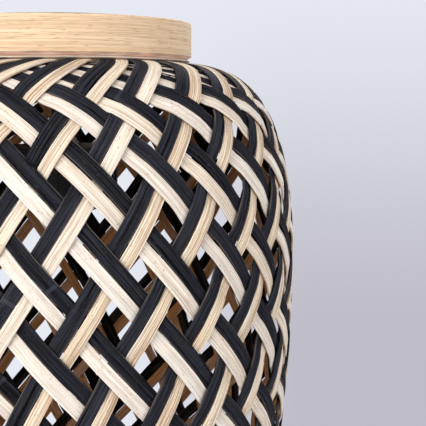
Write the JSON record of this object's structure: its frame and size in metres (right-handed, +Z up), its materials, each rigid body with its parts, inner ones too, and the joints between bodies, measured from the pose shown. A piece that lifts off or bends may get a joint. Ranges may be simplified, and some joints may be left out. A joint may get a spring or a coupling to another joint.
{
  "type": "tiki torch",
  "caption": "Garden torch with a barrel head woven from natural and black bamboo strips, wooden cap with a solar lamp, sectioned bamboo pole and steel ground spike.",
  "frame": {"origin": "on the torch's axis at ground level, where the straight part of the spike meets the depth collar", "axes": "+Z up along the pole to the cap, +X towards the clamp knob on the pole socket, -Y is the front"},
  "size_m": [0.2, 0.2, 1.2121],
  "materials": {
    "spike_steel": "satin",
    "dark_metal": "matt powder coat",
    "screw_steel": "bright zinc",
    "bamboo_pole": "satin",
    "turned_wood": "smooth sanded",
    "woven_bamboo": "split bamboo, natural and black strips",
    "hoop_bamboo": "split bamboo",
    "black_plastic": "fine texture",
    "rubber": "matt",
    "solar": "dark blue cell",
    "window": "clear",
    "frosted": "frosted",
    "white_plastic": "gloss white",
    "board": "solder mask",
    "contact_metal": "nickel plate",
    "cell_wrap": "shrink wrap",
    "lead_cover": "insulated",
    "button": "matt"
  },
  "bodies": {
    "spike": {"ground_spike": "spike_steel", "depth_collar": "dark_metal"},
    "lower_section": {"foot_ferrule": "dark_metal", "lower_pole": "bamboo_pole", "coupling_sleeve": "dark_metal", "sleeve_screws": "screw_steel"},
    "upper_section": {"upper_pole": "bamboo_pole"},
    "head": {"pole_socket": "dark_metal", "socket_screws": "screw_steel", "base_disc": "turned_wood", "bottom_hoop": "hoop_bamboo", "hoop_brads": "screw_steel", "woven_body": "woven_bamboo", "top_hoop": "hoop_bamboo"},
    "clamp": {"clamp_screw": "screw_steel", "clamp_knob": "black_plastic"},
    "lamp_cap": {"wooden_cap": "turned_wood", "window_gasket": "rubber", "solar_cell": "solar", "solar_window": "window", "window_bezel": "dark_metal", "bezel_screws": "screw_steel", "hanger_stem": "dark_metal", "stem_nuts": "screw_steel", "stem_washers": "screw_steel", "lamp_housing": "black_plastic", "battery": "cell_wrap", "battery_holder": "black_plastic", "battery_contacts": "contact_metal", "circuit_board": "board", "board_parts": "black_plastic", "switch_body": "black_plastic", "light_diode": "window", "reflector": "white_plastic", "housing_screws": "screw_steel", "solar_leads": "lead_cover"},
    "button": {"power_button": "button"},
    "dome": {"diffuser": "frosted"}
  },
  "joints": [
    {"name": "pole_lift", "type": "slide", "parent": "spike", "child": "lower_section", "axis": [0, 0, 1], "range_m": [0, 0.04]},
    {"name": "section_pull", "type": "slide", "parent": "lower_section", "child": "upper_section", "axis": [0, 0, 1], "range_m": [0, 0.04]},
    {"name": "head_lift", "type": "slide", "parent": "upper_section", "child": "head", "axis": [0, 0, 1], "range_m": [0, 0.043]},
    {"name": "clamp_turn", "type": "hinge", "parent": "head", "child": "clamp", "pos_m": [0.03, 0, 0.703], "axis": [1, 0, 0], "range_deg": [0, 270]},
    {"name": "cap_lift", "type": "slide", "parent": "head", "child": "lamp_cap", "axis": [0, 0, 1], "range_m": [0, 0.1]},
    {"name": "power_press", "type": "slide", "parent": "lamp_cap", "child": "button", "axis": [0, -1, 0], "range_m": [0, 0.0012], "stiffness_N_per_m": 300, "springref_m": -0.001},
    {"name": "dome_twist", "type": "hinge", "parent": "lamp_cap", "child": "dome", "pos_m": [0, 0, 0.955], "axis": [0, 0, 1], "range_deg": [0, 40]}
  ]
}
